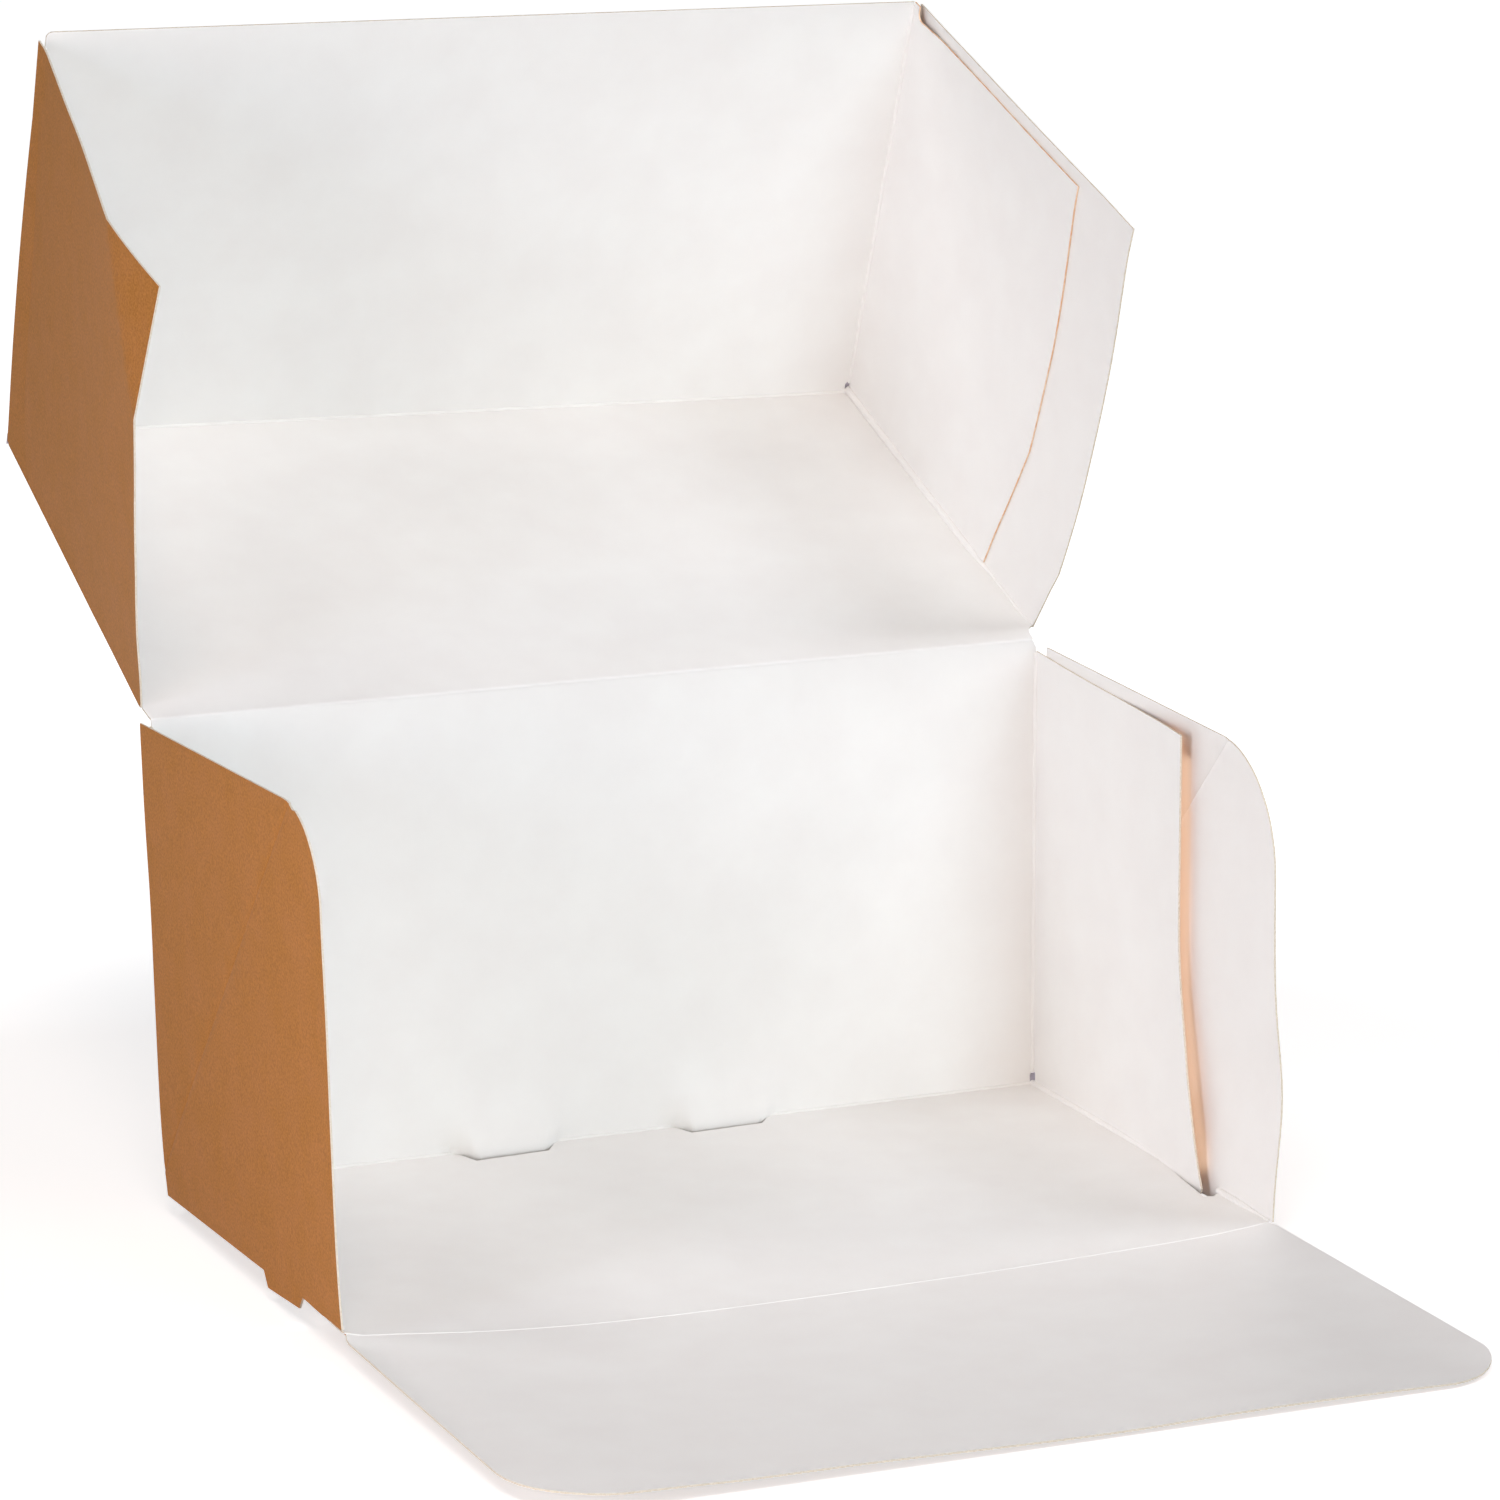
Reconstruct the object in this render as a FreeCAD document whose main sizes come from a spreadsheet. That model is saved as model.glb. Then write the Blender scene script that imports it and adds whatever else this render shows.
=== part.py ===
import FreeCAD, Part
import os
import Sketcher

# A pastry box folded from one sheet of board, standing open: a tray with a rear wall and two
# side walls, a front flap that lies on the table, and a lid that has swung back on the rear wall.
# Millimetres. +X is to the right, +Y to the rear and +Z up. The origin is the middle of the
# underside of the tray's floor. The three pieces that move against each other are three solids.

SIZES = [
    ("board", 0.45, "thickness of the board"),
    ("crease_gap", 0.2, "clearance between two panels that fold on one crease"),
    # Tray
    ("tray_width", 220, "over the outer faces of the side walls"),
    ("tray_depth", 120, "front crease to the outer face of the rear wall"),
    ("tray_height", 110, "underside of the floor to the lid's hinge line"),
    ("stand_height", 5.4, "how far the tongues hold the floor above the table"),
    ("rear_tongue_start", 15, "middle of the box to the near end of a rear tongue"),
    ("rear_tongue_length", 24.6, "length of a rear tongue along its crease"),
    ("tongue_taper", 2, "how much each end of a tongue slants in"),
    ("rear_notch_depth", 6.5, "how far a rear tongue's window reaches into the floor"),
    ("side_tongue_start", 68.8, "rear of the box to the rear end of a side tongue"),
    ("side_tongue_length", 27, "length of a side tongue along its crease"),
    ("side_tongue_front_drop", 2.6, "depth of a side tongue at its front end"),
    ("side_notch_depth", 5.4, "how far a side tongue's window reaches into the floor"),
    ("wall_setback_foot", 0.6, "side wall's rear edge to the rear of the box, at the floor"),
    ("wall_setback_top", 4.5, "side wall's rear edge to the rear of the box, at the top"),
    ("wall_drop_rear", 0.8, "side wall's top edge below the hinge line, at the rear"),
    ("wall_drop_front", 4.8, "side wall's top edge below the hinge line, at the front"),
    ("wall_corner_radius", 31, "rounding of a side wall's front top corner"),
    # Inner flaps of the tray, folded forward from the rear wall and glued to the side walls
    ("glue_length", 40, "length over which an inner flap lies flat on its side wall"),
    ("inner_flap_top_length", 80.8, "length of an inner flap along its top edge"),
    ("inner_flap_foot_length", 86.5, "length of an inner flap along its foot"),
    ("inner_flap_drop_rear", 4.5, "inner flap's top edge below the hinge line, at the rear"),
    ("inner_flap_drop_front", 8.3, "inner flap's top edge below the hinge line, at the front"),
    ("inner_flap_bow", 3, "how far an inner flap's front edge springs off the side wall"),
    ("flap_foot_gap", 0.8, "clearance between an inner flap's foot and the panel under it"),
    ("lock_tab_length", 17, "length of the lock tab at an inner flap's front foot"),
    ("lock_tab_depth", 2.6, "how far a lock tab reaches below the floor's underside"),
    ("relief_width", 1.3, "corner relief at an inner flap's foot, along the box"),
    ("relief_height", 2.5, "corner relief at an inner flap's foot, upwards"),
    # Front flap
    ("front_flap_reach", 109.2, "crease to the free edge of the front flap"),
    ("front_flap_inset", 0.2, "front flap's side edge inside the tray's side wall"),
    ("front_flap_corner_radius", 20, "rounding of the front flap's free corners"),
    ("front_flap_chamfer_width", 2, "slanted end of the front flap's crease, sideways"),
    ("front_flap_chamfer_length", 7, "slanted end of the front flap's crease, forwards"),
    # Lid
    ("lid_open_angle", 22.65, "slope of the open lid's panel above the horizontal, degrees"),
    ("lid_side_clearance", 0.4, "lid's inner flap to the tray's side wall, lid closed"),
    ("lid_front_clearance", 0.5, "lid's front to the upright front flap, lid closed"),
    ("lid_ply_gap", 0.15, "between a lid side wall and its inner flap, at the crease"),
    ("lid_front_drop", 109, "height of the lid's front"),
    ("lid_side_drop", 109.5, "height of the lid's side walls"),
    ("lid_setback", 3.5, "hinge line to the rear end of a lid side wall's crease"),
    ("lid_corner_cut", 1.6, "sideways cut at each end of the lid's hinge line"),
    ("lid_flap_reach", 92.3, "length of a lid inner flap, from the lid's front"),
    ("lid_flap_inset", 2.5, "lid inner flap's free edge inside the side wall's free edge"),
    ("lid_flap_slant_length", 6.7, "slant at the foot of a lid inner flap's end, along the lid"),
    ("lid_flap_slant_height", 35, "slant at the foot of a lid inner flap's end, upwards"),
    ("lid_flap_nose_length", 1.2, "slant at the top of a lid inner flap's end, along the lid"),
    ("lid_flap_nose_height", 41, "slant at the top of a lid inner flap's end, downwards"),
    ("lid_shoulder", 35, "hinge line to the place where a lid side wall flares most"),
    ("lid_flap_lift", 0.7, "how far a lid inner flap stays inside the bow of its wall"),
    ("lid_glue_start", 62, "hinge line to the rear end of the glued patch"),
    ("lid_glue_length", 45, "length of the glued patch"),
    ("lid_glue_foot", 62, "lid panel to the lower side of the glued patch"),
    ("lid_glue_height", 34, "height of the glued patch"),
    ("left_flare_rear", 8.2, "left lid wall's free edge outwards, at the rear"),
    ("left_flare_shoulder", 10.2, "left lid wall's free edge outwards, at the shoulder"),
    ("left_flare_front", 1.9, "left lid wall's free edge outwards, at the front"),
    ("left_belly_rear", 4.4, "left lid wall's bulge off its chord, at the rear"),
    ("left_belly_shoulder", 1.4, "left lid wall's bulge off its chord, at the shoulder"),
    ("right_flare_rear", 2.4, "right lid wall's free edge outwards, at the rear"),
    ("right_flare_shoulder", 2.4, "right lid wall's free edge outwards, at the shoulder"),
    ("right_flare_front", 0.3, "right lid wall's free edge outwards, at the front"),
    ("right_belly_rear", 2.5, "right lid wall's bulge off its chord, at the rear"),
    ("right_belly_shoulder", 1.8, "right lid wall's bulge off its chord, at the shoulder"),
    ("belly_front", 0.2, "either lid wall's bulge off its chord, at the front"),
]

doc = FreeCAD.newDocument("pastry_box")
sheet = doc.addObject("Spreadsheet::Sheet", "Sizes")
for row, (alias, value, note) in enumerate(SIZES, start=1):
    sheet.set(f"A{row}", note)
    sheet.set(f"B{row}", str(value))
    sheet.setAlias(f"B{row}", alias)
doc.recompute()


def size(alias):
    """The sheet's cell, as the expressions of the other objects name it."""
    return f"Sizes.{alias}"


def number(expression):
    """The value of an expression, to start a sketch close to its final shape."""
    return float(sheet.evalExpression(expression))


# Places that several panels share, as expressions
BOARD = size("board")
RIGHT = f"({size('tray_width')} / 2)"
REAR = f"({size('tray_depth')} / 2)"
FRONT = f"(-{size('tray_depth')} / 2)"
TOP = size("tray_height")
FOLD_GAP = f"({BOARD} + {size('crease_gap')})"
FRONT_EDGE = f"({FRONT} + {FOLD_GAP})"
INNER_RIGHT = f"({RIGHT} - {BOARD})"
LID_FLAP_FACE = f"({RIGHT} + {size('lid_side_clearance')})"
LID_WALL_FACE = f"({LID_FLAP_FACE} + {BOARD} + {size('lid_ply_gap')})"
LID_RIGHT = f"({LID_WALL_FACE} + {BOARD})"
LID_DEPTH = f"({size('tray_depth')} + {size('lid_front_clearance')} + {BOARD})"


# ---- Sketches and panels ---------------------------------------------------------------------

def draw(sketch, corners, bends=None):
    """Close a profile through corners given as expressions. The side that starts at a corner
    named in bends is an arc of the radius given there, on the side of the point given with it;
    every other side is straight."""
    bends = bends or {}
    points = [FreeCAD.Vector(number(x), number(y), 0) for x, y in corners]
    starts, ends, arcs = [], [], {}
    for index, point in enumerate(points):
        following = points[(index + 1) % len(points)]
        if index not in bends:
            side = sketch.addGeometry(Part.LineSegment(point, following), False)
            starts.append((side, 1))
            ends.append((side, 2))
            continue
        radius, (x, y) = bends[index]
        middle = FreeCAD.Vector(number(x), number(y), 0)
        side = sketch.addGeometry(Part.Arc(point, middle, following), False)
        runs_forward = sketch.getPoint(side, 1).distanceToPoint(point) < 1e-6
        starts.append((side, 1 if runs_forward else 2))
        ends.append((side, 2 if runs_forward else 1))
        arcs[side] = radius
    for index, (x, y) in enumerate(corners):
        side, end = starts[index]
        before, before_end = ends[index - 1]
        sketch.addConstraint(Sketcher.Constraint("Coincident", before, before_end, side, end))
        place(sketch, side, end, x, y)
    for side, radius in arcs.items():
        index = sketch.addConstraint(Sketcher.Constraint("Radius", side, number(radius)))
        sketch.setExpression(f"Constraints[{index}]", radius)


def place(sketch, geometry, end, x, y):
    """Hold a point of a sketch at the two expressions, measured from the sketch's origin."""
    for kind, expression in (("DistanceX", x), ("DistanceY", y)):
        constraint = Sketcher.Constraint(kind, -1, 1, geometry, end, number(expression))
        index = sketch.addConstraint(constraint)
        sketch.setExpression(f"Constraints[{index}]", expression)


def origin_plane(body, role):
    return next(plane for plane in body.Origin.OriginFeatures if plane.Role == role)


def body_sketch(body, name, role, offset, corners, bends=None):
    """A closed profile on one of the body's origin planes, moved along the plane's normal."""
    sketch = body.newObject("Sketcher::SketchObject", name)
    sketch.AttachmentSupport = [(origin_plane(body, role), "")]
    sketch.MapMode = "FlatFace"
    sketch.setExpression("AttachmentOffset.Base.z", offset)
    draw(sketch, corners, bends)
    return sketch


def pad(body, name, role, offset, corners, bends=None):
    """A flat panel of the board's thickness, added to the body."""
    panel = body.newObject("PartDesign::Pad", name)
    panel.Profile = body_sketch(body, f"{name}_outline", role, offset, corners, bends)
    panel.setExpression("Length", BOARD)
    return panel


def window(body, name, corners):
    """A hole right through the floor, and the same hole on the left."""
    hole = body.newObject("PartDesign::Pocket", name)
    hole.Profile = body_sketch(body, f"{name}_outline", "XY_Plane", "0", corners)
    hole.setExpression("Length", BOARD)
    hole.Reversed = True
    mirror(body, hole)


def mirror(body, feature):
    """The same feature on the left of the body."""
    copy = body.newObject("PartDesign::Mirrored", f"{feature.Name}_left")
    copy.Originals = [feature]
    copy.MirrorPlane = (origin_plane(body, "YZ_Plane"), [""])
    body.Tip = copy


TURNS = {
    "XY": FreeCAD.Rotation(),
    "XZ": FreeCAD.Rotation(FreeCAD.Vector(1, 0, 0), 90),
    "YZ": FreeCAD.Rotation(FreeCAD.Vector(1, 1, 1), 120),
}


def free_sketch(name, plane, axis, offset, corners, bends=None):
    """A closed profile in a plane that stands at an offset along the named axis."""
    sketch = doc.addObject("Sketcher::SketchObject", name)
    sketch.Placement = FreeCAD.Placement(FreeCAD.Vector(), TURNS[plane])
    sketch.setExpression(f"Placement.Base.{axis}", offset)
    draw(sketch, corners, bends)
    return sketch


def push(name, sketch, direction, length):
    """The solid swept by a profile along a direction."""
    solid = doc.addObject("Part::Extrusion", name)
    solid.Base = sketch
    solid.DirMode = "Custom"
    solid.Dir = direction
    solid.Solid = True
    solid.setExpression("LengthFwd", length)
    return solid


def common(name, first, second):
    solid = doc.addObject("Part::Common", name)
    solid.Base = first
    solid.Tool = second
    return solid


def fuse(name, shapes):
    solid = doc.addObject("Part::MultiFuse", name)
    solid.Shapes = shapes
    solid.Refine = True
    return solid


# ---- Tray: floor, rear wall, side walls and the inner flaps glued inside them ------------------

def from_rear(distance):
    return f"({REAR} - {distance})"


def tray_panels():
    """The floor with its four tongue windows, the rear wall and the two side walls."""
    body = doc.addObject("PartDesign::Body", "tray_panels")
    taper = size("tongue_taper")
    pad(body, "floor", "XY_Plane", "0", [
        (f"-{RIGHT}", FRONT_EDGE), (RIGHT, FRONT_EDGE), (RIGHT, REAR), (f"-{RIGHT}", REAR)])

    near = size("rear_tongue_start")
    far = f"({near} + {size('rear_tongue_length')})"
    notch = from_rear(size("rear_notch_depth"))
    window(body, "rear_window", [
        (near, from_rear(BOARD)), (f"{near} + {taper}", notch),
        (f"{far} - {taper}", notch), (far, from_rear(BOARD))])

    tongue_rear = from_rear(size("side_tongue_start"))
    tongue_front = f"({tongue_rear} - {size('side_tongue_length')})"
    notch = f"({RIGHT} - {size('side_notch_depth')})"
    window(body, "side_window", [
        (INNER_RIGHT, tongue_rear), (notch, f"{tongue_rear} - {taper}"),
        (notch, f"{tongue_front} + {taper}"), (INNER_RIGHT, tongue_front)])

    # The rear wall ends a fold's clearance below the closed lid; its tongues stand on the table
    foot = f"-{size('stand_height')}"
    pad(body, "rear_wall", "XZ_Plane", f"-{REAR}", [
        (f"-{INNER_RIGHT}", "0"),
        (f"-{far}", "0"), (f"-{far} + {taper}", foot), (f"-{near} - {taper}", foot), (f"-{near}", "0"),
        (near, "0"), (f"{near} + {taper}", foot), (f"{far} - {taper}", foot), (far, "0"),
        (INNER_RIGHT, "0"), (INNER_RIGHT, f"{TOP} - {FOLD_GAP}"), (f"-{INNER_RIGHT}", f"{TOP} - {FOLD_GAP}")])

    radius = size("wall_corner_radius")
    front_top = f"({TOP} - {size('wall_drop_front')})"
    bite = f"({radius} * (1 - sqrt(0.5)))"
    side = pad(body, "side_wall", "YZ_Plane", INNER_RIGHT, [
        (from_rear(size("wall_setback_foot")), "0"),
        (from_rear(size("wall_setback_top")), f"{TOP} - {size('wall_drop_rear')}"),
        (f"{FRONT_EDGE} + {radius}", front_top),
        (FRONT_EDGE, f"{front_top} - {radius}"),
        (FRONT_EDGE, "0"),
        (tongue_front, "0"), (f"{tongue_front} + {taper}", f"-{size('side_tongue_front_drop')}"),
        (f"{tongue_rear} - {taper}", foot), (tongue_rear, "0")],
        {2: (radius, (f"{FRONT_EDGE} + {bite}", f"{front_top} - {bite}"))})
    mirror(body, side)
    return body


def tray_inner_flap():
    """The right inner flap. It lies on the side wall where it is glued and then springs inwards,
    and its lock tab reaches down through the side tongue's window."""
    glued = from_rear(size("glue_length"))
    front = from_rear(size("inner_flap_foot_length"))
    half_way = f"(({glued} + {front}) / 2)"
    bow = size("inner_flap_bow")
    inside = f"({INNER_RIGHT} - {BOARD})"
    radius = f"((({glued} - {front}) ^ 2 + {bow} ^ 2) / (2 * {bow}))"
    ply = free_sketch("inner_flap_ply_profile", "XY", "z", f"-{size('lock_tab_depth')}", [
        (INNER_RIGHT, REAR), (INNER_RIGHT, glued), (f"{INNER_RIGHT} - {bow}", front),
        (f"{inside} - {bow}", front), (inside, glued), (inside, REAR)],
        {1: (radius, (f"{INNER_RIGHT} - {bow} / 4", half_way)),
         3: (radius, (f"{inside} - {bow} / 4", half_way))})
    ply = push("inner_flap_ply", ply, FreeCAD.Vector(0, 0, 1), f"{TOP} + {size('lock_tab_depth')}")

    foot = f"({BOARD} + {size('flap_foot_gap')})"
    relief = from_rear(f"{BOARD} - {size('relief_width')}")
    relief_top = f"({foot} + {size('relief_height')})"
    tab_rear = f"({front} + {size('lock_tab_length')})"
    outline = free_sketch("inner_flap_outline", "YZ", "x", "0", [
        (REAR, relief_top), (relief, relief_top), (relief, foot),
        (tab_rear, foot), (f"{tab_rear} - {size('tongue_taper')}", f"-{size('lock_tab_depth')}"),
        (f"{front} + {size('tongue_taper')}", f"-{size('lock_tab_depth')}"), (front, foot),
        (from_rear(size("inner_flap_top_length")), f"{TOP} - {size('inner_flap_drop_front')}"),
        (REAR, f"{TOP} - {size('inner_flap_drop_rear')}")])
    outline = push("inner_flap_cutter", outline, FreeCAD.Vector(1, 0, 0), RIGHT)
    return common("inner_flap_right", ply, outline)


def tray():
    right = tray_inner_flap()
    left = doc.addObject("Part::Mirroring", "inner_flap_left")
    left.Source = right
    left.Normal = FreeCAD.Vector(1, 0, 0)
    return fuse("tray", [tray_panels(), right, left])


# ---- Front flap -------------------------------------------------------------------------------

def front_flap():
    """The panel in front of the floor. Its crease is the front edge of its underside, and it
    slopes down until its free edge lies on the table."""
    body = doc.addObject("PartDesign::Body", "front_flap")
    side = f"({RIGHT} - {size('front_flap_inset')})"
    crease_end = f"({side} - {size('front_flap_chamfer_width')})"
    reach = size("front_flap_reach")
    radius = size("front_flap_corner_radius")
    bite = f"({radius} * (1 - sqrt(0.5)))"
    chamfer = f"-{size('front_flap_chamfer_length')}"
    pad(body, "front_flap_panel", "XY_Plane", "0", [
        (f"-{crease_end}", "0"), (f"-{side}", chamfer), (f"-{side}", f"{radius} - {reach}"),
        (f"{radius} - {side}", f"-{reach}"), (f"{side} - {radius}", f"-{reach}"),
        (side, f"{radius} - {reach}"), (side, chamfer), (crease_end, "0")],
        {2: (radius, (f"{bite} - {side}", f"{bite} - {reach}")),
         4: (radius, (f"{side} - {bite}", f"{bite} - {reach}"))})
    body.Placement.Rotation = FreeCAD.Rotation(FreeCAD.Vector(1, 0, 0), 1)
    body.setExpression("Placement.Rotation.Angle", f"asin({size('stand_height')} / {reach})")
    body.setExpression("Placement.Base.y", FRONT)
    return body


# ---- Lid: panel, front, side walls and the inner flaps glued inside them ------------------------
# The lid is drawn with its hinge line on the X axis, its panel along +Y and its walls up +Z, and
# then swung to its open place. Its side walls start straight at their creases and flare outwards.

def lid_panels():
    """The lid's panel, with a small cut at each end of the hinge line, and the lid's front."""
    body = doc.addObject("PartDesign::Body", "lid_panels")
    hinge_end = f"({LID_RIGHT} - {size('lid_corner_cut')})"
    setback = size("lid_setback")
    pad(body, "lid_panel", "XY_Plane", "0", [
        (f"-{hinge_end}", "0"), (hinge_end, "0"), (LID_RIGHT, setback), (LID_RIGHT, LID_DEPTH),
        (f"-{LID_RIGHT}", LID_DEPTH), (f"-{LID_RIGHT}", setback)])
    side = f"({LID_FLAP_FACE} + {BOARD})"
    drop = size("lid_front_drop")
    pad(body, "lid_front", "XZ_Plane", f"-{LID_DEPTH}", [
        (f"-{side}", "0"), (side, "0"), (side, drop), (f"-{side}", drop)])
    return body


def bowed_sheet(name, side, stations):
    """A solid between two bowed faces. Each station is its place along the lid, then the inner
    and the outer face there, each face as (place at the crease, flare of its free edge, belly)."""
    sign = "-" if side == "left" else ""
    height = size("lid_side_drop")
    sections = []
    for index, (along, inner, outer) in enumerate(stations):
        corners = [
            (f"{sign}({inner[0]})", "0"), (f"{sign}({inner[0]} + {inner[1]})", height),
            (f"{sign}({outer[0]} + {outer[1]})", height), (f"{sign}({outer[0]})", "0")]
        bends = {}
        for corner, (crease, flare, belly) in ((0, inner), (2, outer)):
            radius = f"((({height} ^ 2 + {flare} ^ 2) / 4 + {belly} ^ 2) / (2 * {belly}))"
            bends[corner] = (radius, (f"{sign}({crease} + {flare} / 2 + {belly})", f"{height} / 2"))
        sections.append(free_sketch(f"{name}_section_{index}", "XZ", "y", along, corners, bends))
    loft = doc.addObject("Part::Loft", name)
    loft.Sections = sections
    loft.Solid = True
    return loft


def lid_side(side):
    """One lid side wall, the inner flap that the lid's front carries, and the glue between them."""
    flare = [size(f"{side}_flare_{place}") for place in ("rear", "shoulder", "front")]
    belly = [size(f"{side}_belly_rear"), size(f"{side}_belly_shoulder"), size("belly_front")]
    places = ["0", size("lid_shoulder"), LID_DEPTH]
    lift = size("lid_flap_lift")
    flap_flare = [f"({flare[0]} - {lift})", f"({flare[1]} - {lift})", size("lid_ply_gap")]

    def faces(crease, flares):
        return [(crease, flares[index], belly[index]) for index in range(3)]

    def sheet_between(name, inner, outer):
        stations = [(places[index], inner[index], outer[index]) for index in range(3)]
        return bowed_sheet(name, side, stations)

    flap_middle = f"({LID_FLAP_FACE} + {BOARD} / 2)"
    wall_middle = f"({LID_WALL_FACE} + {BOARD} / 2)"
    wall = sheet_between(f"lid_wall_{side}_ply", faces(LID_WALL_FACE, flare), faces(LID_RIGHT, flare))
    flap = sheet_between(
        f"lid_flap_{side}_ply", faces(LID_FLAP_FACE, flap_flare),
        faces(f"({LID_FLAP_FACE} + {BOARD})", flap_flare))
    glue = sheet_between(f"lid_glue_{side}_ply", faces(flap_middle, flap_flare), faces(wall_middle, flare))

    drop = size("lid_side_drop")
    cut_wall = trim(f"lid_wall_{side}", wall, [
        (size("lid_setback"), "0"), (LID_DEPTH, "0"), (LID_DEPTH, drop), ("0", drop),
        ("0", f"3 * {size('lid_setback')}")])
    end = f"({LID_DEPTH} - {size('lid_flap_reach')})"
    foot = f"({BOARD} + {size('flap_foot_gap')})"
    free_edge = f"({drop} - {size('lid_flap_inset')})"
    front = f"({LID_DEPTH} - {BOARD} / 2)"
    cut_flap = trim(f"lid_flap_{side}", flap, [
        (f"{end} + {size('lid_flap_slant_length')}", foot), (front, foot), (front, free_edge),
        (f"{end} + {size('lid_flap_nose_length')}", free_edge),
        (end, f"{free_edge} - {size('lid_flap_nose_height')}"),
        (end, f"{foot} + {size('lid_flap_slant_height')}")])
    glue_start = size("lid_glue_start")
    glue_end = f"({glue_start} + {size('lid_glue_length')})"
    glue_foot = size("lid_glue_foot")
    glue_top = f"({glue_foot} + {size('lid_glue_height')})"
    cut_glue = trim(f"lid_glue_{side}", glue, [
        (glue_start, glue_foot), (glue_end, glue_foot), (glue_end, glue_top), (glue_start, glue_top)])
    return [cut_wall, cut_flap, cut_glue]


def trim(name, solid, corners):
    """What an outline, seen from the side of the lid, leaves of a solid."""
    outline = free_sketch(f"{name}_outline", "YZ", "x", f"-{size('tray_width')}", corners)
    cutter = push(f"{name}_cutter", outline, FreeCAD.Vector(1, 0, 0), f"2 * {size('tray_width')}")
    return common(name, solid, cutter)


def lid():
    whole = fuse("lid", [lid_panels()] + lid_side("left") + lid_side("right"))
    whole.Placement.Rotation = FreeCAD.Rotation(FreeCAD.Vector(1, 0, 0), 1)
    whole.setExpression("Placement.Rotation.Angle", size("lid_open_angle"))
    whole.setExpression("Placement.Base.y", REAR)
    whole.setExpression("Placement.Base.z", TOP)
    return whole


# ---- Build, check and write ---------------------------------------------------------------------

nodes = [tray(), front_flap(), lid()]
doc.recompute()

for item in doc.Objects:
    if "Invalid" in item.State or "Error" in item.State:
        raise RuntimeError(f"{item.Name} has failed: {item.State}")
for node in nodes:
    if node.Shape.isNull() or not node.Shape.isValid() or len(node.Shape.Solids) != 1:
        raise RuntimeError(f"{node.Label} isn't one valid solid")

os.makedirs("parts", exist_ok=True)
for node in nodes:
    node.Shape.exportStep(f"parts/{node.Label}.step")
    box = node.Shape.BoundBox
    print(f"{node.Label}: {node.Shape.Volume:.0f} mm3,"
          f" x {box.XMin:.2f} to {box.XMax:.2f}, y {box.YMin:.2f} to {box.YMax:.2f},"
          f" z {box.ZMin:.2f} to {box.ZMax:.2f}")
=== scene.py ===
import math

import bpy
from mathutils import Matrix, Vector


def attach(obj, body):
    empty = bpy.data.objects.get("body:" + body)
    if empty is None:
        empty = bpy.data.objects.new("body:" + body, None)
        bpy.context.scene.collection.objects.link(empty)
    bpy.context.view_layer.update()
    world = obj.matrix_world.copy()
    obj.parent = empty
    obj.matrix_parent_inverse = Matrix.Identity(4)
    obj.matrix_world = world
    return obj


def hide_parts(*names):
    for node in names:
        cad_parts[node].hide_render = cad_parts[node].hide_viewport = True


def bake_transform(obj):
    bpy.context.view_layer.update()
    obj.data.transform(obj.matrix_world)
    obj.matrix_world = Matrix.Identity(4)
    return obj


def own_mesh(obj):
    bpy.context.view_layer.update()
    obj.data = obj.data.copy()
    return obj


# A pastry box folded from one sheet of white-lined kraft board, standing open. Places are in
# millimetres, in the frame of the solids: +X right, +Y rear, +Z up from the underside of the
# floor. Every sheet is drawn as its white face, and its thickness then grows to the kraft side.

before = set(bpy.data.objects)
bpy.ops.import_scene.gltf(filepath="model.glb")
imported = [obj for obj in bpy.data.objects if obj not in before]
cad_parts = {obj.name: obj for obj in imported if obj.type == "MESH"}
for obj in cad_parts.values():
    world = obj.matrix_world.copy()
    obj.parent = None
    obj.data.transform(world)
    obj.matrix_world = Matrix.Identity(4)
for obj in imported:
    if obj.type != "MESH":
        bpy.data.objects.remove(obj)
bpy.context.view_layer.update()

BOARD = 0.45
STAND = 5.4                             # the floor's underside above the table
HALF_WIDTH, HALF_DEPTH, HEIGHT = 110.0, 60.0, 110.0
WALL_FACE = HALF_WIDTH - BOARD          # white face of a tray side wall
FLAP_FACE = WALL_FACE - BOARD           # white face of a tray inner flap
REAR_FACE = HALF_DEPTH - BOARD          # white face of the rear wall
FLOOR_FACE = BOARD
FRONT_CREASE = -HALF_DEPTH
FLOOR_FRONT = FRONT_CREASE + BOARD + 0.2
FLAP_REACH = 109.2
LID_ANGLE = math.radians(22.65)
LID_FLAP_FACE = HALF_WIDTH + 0.4        # white face of a lid inner flap, at its foot
LID_WALL_FACE = LID_FLAP_FACE + BOARD + 0.05
LID_FRONT_FACE = 2 * HALF_DEPTH + 0.5
LID_SAG = 0.6                           # how far the open lid's panel hangs below its straight line

SIDES = ((-1, "left"), (1, "right"))
INWARD = {"left": "right", "right": "left"}     # which way the white face of each side's sheets looks
XY, XZ, YZ = (0, 1), (0, 2), (1, 2)


def metres(*values):
    return tuple(value * 0.001 for value in values)


# ---- Materials ----------------------------------------------------------------------------------

def linear(code):
    """An sRGB hex colour as Blender's linear colour."""
    channels = [int(code[start:start + 2], 16) / 255 for start in (1, 3, 5)]
    return tuple(c / 12.92 if c <= 0.04045 else ((c + 0.055) / 1.055) ** 2.4 for c in channels) + (1.0,)


def add(tree, kind, links=(), **settings):
    """A node with its settings, its inputs' values and its links. A setting named in_3 or
    in_Scale is the value of an input; a link is (input, source node, output)."""
    node = tree.nodes.new(kind)
    for name, value in settings.items():
        if name.startswith("in_"):
            key = name[3:].replace("_", " ")
            node.inputs[int(key) if key.isdigit() else key].default_value = value
        else:
            setattr(node, name, value)
    for key, source, output in links:
        tree.links.new(source.outputs[output], node.inputs[key])
    return node


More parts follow.
